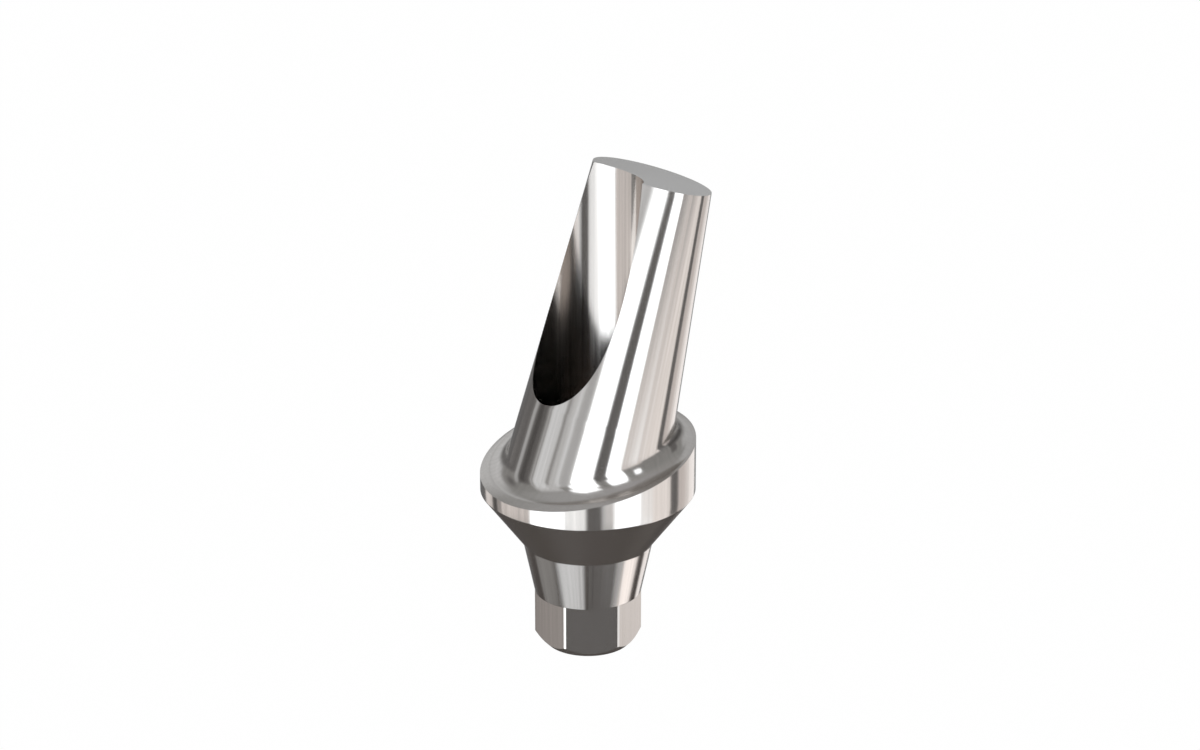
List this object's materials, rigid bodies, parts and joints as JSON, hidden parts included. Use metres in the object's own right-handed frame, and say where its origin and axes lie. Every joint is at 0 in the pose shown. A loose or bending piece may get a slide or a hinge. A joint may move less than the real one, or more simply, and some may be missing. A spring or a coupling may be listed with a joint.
{
  "type": "dental abutment",
  "caption": "Angled abutment for a dental implant: oval tapered post, sloping crown margin, open-sided screw channel, and a cone and hexagon connection.",
  "frame": {"origin": "centre of the implant platform plane on the implant axis, where the seating cone begins", "axes": "+Z along the implant axis toward the crown, +X toward the side that the post leans to, square to one pair of hexagon flats"},
  "size_m": [0.0062, 0.0056, 0.013],
  "materials": {
    "titanium": "polished, with fine turning marks"
  },
  "bodies": {
    "root": {"abutment_body": "titanium"}
  },
  "joints": []
}
